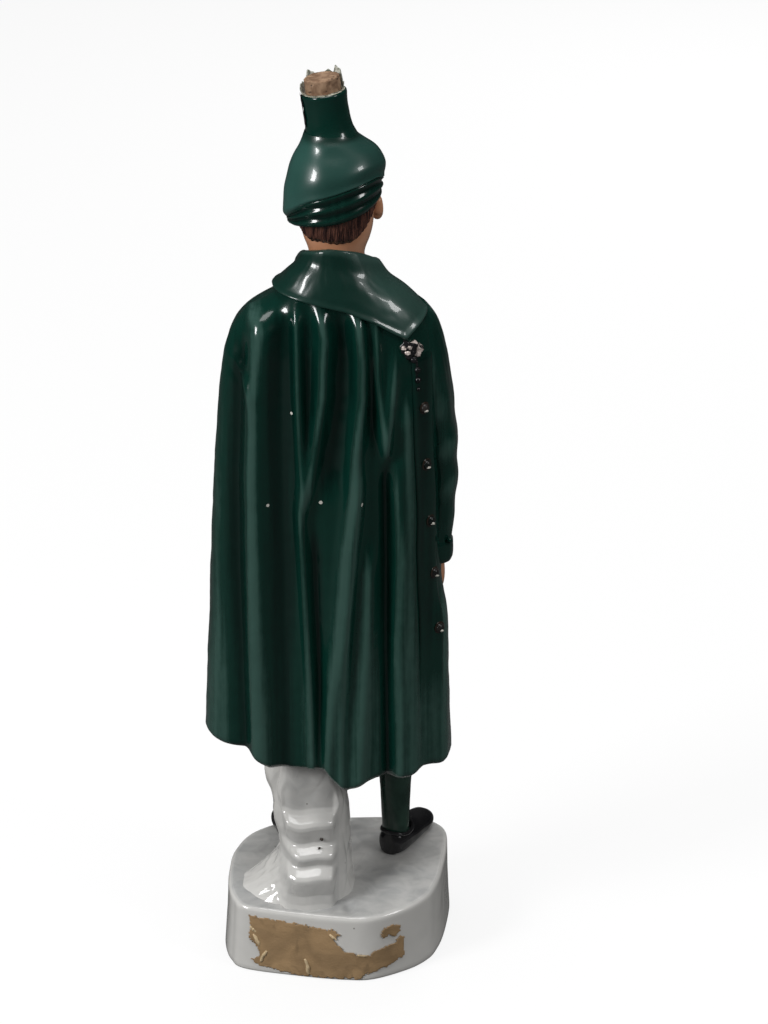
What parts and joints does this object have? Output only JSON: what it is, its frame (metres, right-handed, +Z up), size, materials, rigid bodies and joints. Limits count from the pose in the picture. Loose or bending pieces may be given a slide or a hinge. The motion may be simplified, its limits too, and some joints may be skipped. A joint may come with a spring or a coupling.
{
  "type": "figural ceramic decanter",
  "caption": "Ceramic bottle shaped as a standing figure in a long cloak and soft cap, on a plinth with a rock; it holds liquor and closes with a cork in the leaning neck.",
  "frame": {"origin": "centre of the bounding box at the resting face of the plinth", "axes": "+Z up, the figure faces -Y, its right arm on the -X side"},
  "size_m": [0.1067, 0.085, 0.3926],
  "materials": {
    "green_glaze": "gloss",
    "white_glaze": "gloss",
    "skin_glaze": "gloss",
    "hair_glaze": "gloss",
    "black_glaze": "gloss",
    "saffron_glaze": "gloss",
    "silver_lustre": "lustre",
    "cork": "rough",
    "brown_paper": "matte",
    "seal_film": "matte"
  },
  "bodies": {
    "decanter": {"base_plinth": "white_glaze", "rock_stump": "white_glaze", "paper_label": "brown_paper", "label_scrap": "brown_paper", "cloak_body": "green_glaze", "cloak_collar": "green_glaze", "button_placket": "green_glaze", "placket_buttons": "green_glaze", "shoulder_clasp": "silver_lustre", "clasp_beads": "black_glaze", "right_sleeve": "green_glaze", "right_hand": "skin_glaze", "tunic_front": "green_glaze", "tunic_buttons": "silver_lustre", "waist_belt": "black_glaze", "belt_buckle": "silver_lustre", "kilt": "saffron_glaze", "right_knee": "skin_glaze", "left_knee": "skin_glaze", "right_stocking": "green_glaze", "left_stocking": "green_glaze", "right_shoe": "black_glaze", "left_shoe": "black_glaze", "head": "skin_glaze", "hair_back": "hair_glaze", "ears": "skin_glaze", "hat_band": "green_glaze", "hat_crown": "green_glaze", "neck_spout": "green_glaze", "seal_remnant": "seal_film", "seal_strip": "seal_film"},
    "stopper": {"cork_stopper": "cork"}
  },
  "joints": [
    {"name": "stopper_slide", "type": "slide", "parent": "decanter", "child": "stopper", "axis": [0.1392, 0, 0.9903], "range_m": [0, 0.045]}
  ]
}
